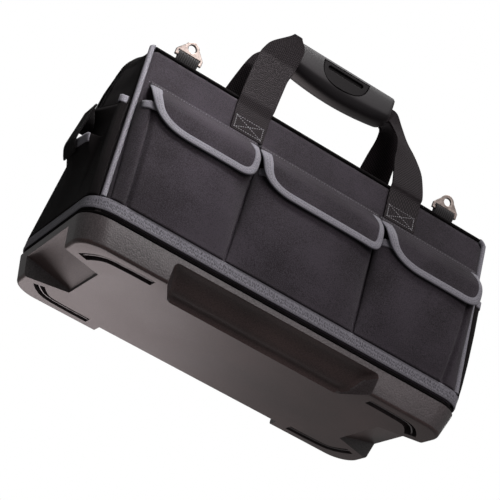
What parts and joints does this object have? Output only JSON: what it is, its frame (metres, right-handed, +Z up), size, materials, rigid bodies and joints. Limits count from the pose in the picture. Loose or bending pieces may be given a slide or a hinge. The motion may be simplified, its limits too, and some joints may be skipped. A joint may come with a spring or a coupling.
{
  "type": "tool bag",
  "caption": "Zip-top cloth tool bag on a moulded plastic base, with flapped front pockets, end pockets and webbing handles joined by a moulded grip.",
  "frame": {"origin": "on the ground under the middle of the base", "axes": "+Z up, -Y out of the front pockets, +X towards the bag's right end as seen from the front"},
  "size_m": [0.4902, 0.2254, 0.3715],
  "materials": {
    "base_plastic": "fine moulded texture",
    "grey_tape": "woven grey tape with stitching",
    "charcoal_cloth": "heavy woven polyester",
    "gusset_cloth": "black woven polyester",
    "black_tape": "black tape and zip",
    "webbing": "ribbed polyester webbing",
    "grip_plastic": "satin moulded grip",
    "nickel": "nickel-plated steel"
  },
  "bodies": {
    "bag": {"base_tray": "base_plastic", "base_strip": "grey_tape", "front_panel": "charcoal_cloth", "back_panel": "charcoal_cloth", "gusset_front": "gusset_cloth", "gusset_back": "gusset_cloth", "zip": "black_tape", "zip_slider": "nickel", "end_panel_left": "gusset_cloth", "end_panel_right": "gusset_cloth", "end_pocket_left": "gusset_cloth", "end_pocket_right": "gusset_cloth", "end_tape_left": "grey_tape", "end_tape_right": "grey_tape", "zip_tab_left": "black_tape", "zip_tab_right": "black_tape", "piping_front_left": "grey_tape", "piping_front_right": "grey_tape", "piping_back_left": "grey_tape", "piping_back_right": "grey_tape", "pleat_cap_front_left": "grey_tape", "pleat_cap_front_right": "grey_tape", "pleat_cap_back_left": "grey_tape", "pleat_cap_back_right": "grey_tape", "top_hem_front": "black_tape", "top_hem_back": "black_tape", "handle_front_left": "webbing", "handle_front_right": "webbing", "handle_back_left": "webbing", "handle_back_right": "webbing", "pocket_left": "charcoal_cloth", "pocket_middle": "charcoal_cloth", "pocket_right": "charcoal_cloth", "pocket_tape_left": "grey_tape", "pocket_tape_middle": "grey_tape", "pocket_tape_right": "grey_tape", "flap_left": "charcoal_cloth", "flap_middle": "charcoal_cloth", "flap_right": "charcoal_cloth", "flap_binding_left": "grey_tape", "flap_binding_middle": "grey_tape", "flap_binding_right": "grey_tape", "grip": "grip_plastic", "grip_inset": "grip_plastic", "ring_tab_left": "webbing", "ring_tab_right": "webbing"},
    "ring_left": {"ring_left": "nickel"},
    "ring_right": {"ring_right": "nickel"}
  },
  "joints": [
    {"name": "ring_left_swing", "type": "hinge", "parent": "bag", "child": "ring_left", "pos_m": [-0.1745, -0.036, 0.265], "axis": [1, 0, 0], "range_deg": [-80, 80]},
    {"name": "ring_right_swing", "type": "hinge", "parent": "bag", "child": "ring_right", "pos_m": [0.163, -0.036, 0.265], "axis": [1, 0, 0], "range_deg": [-80, 80]}
  ]
}
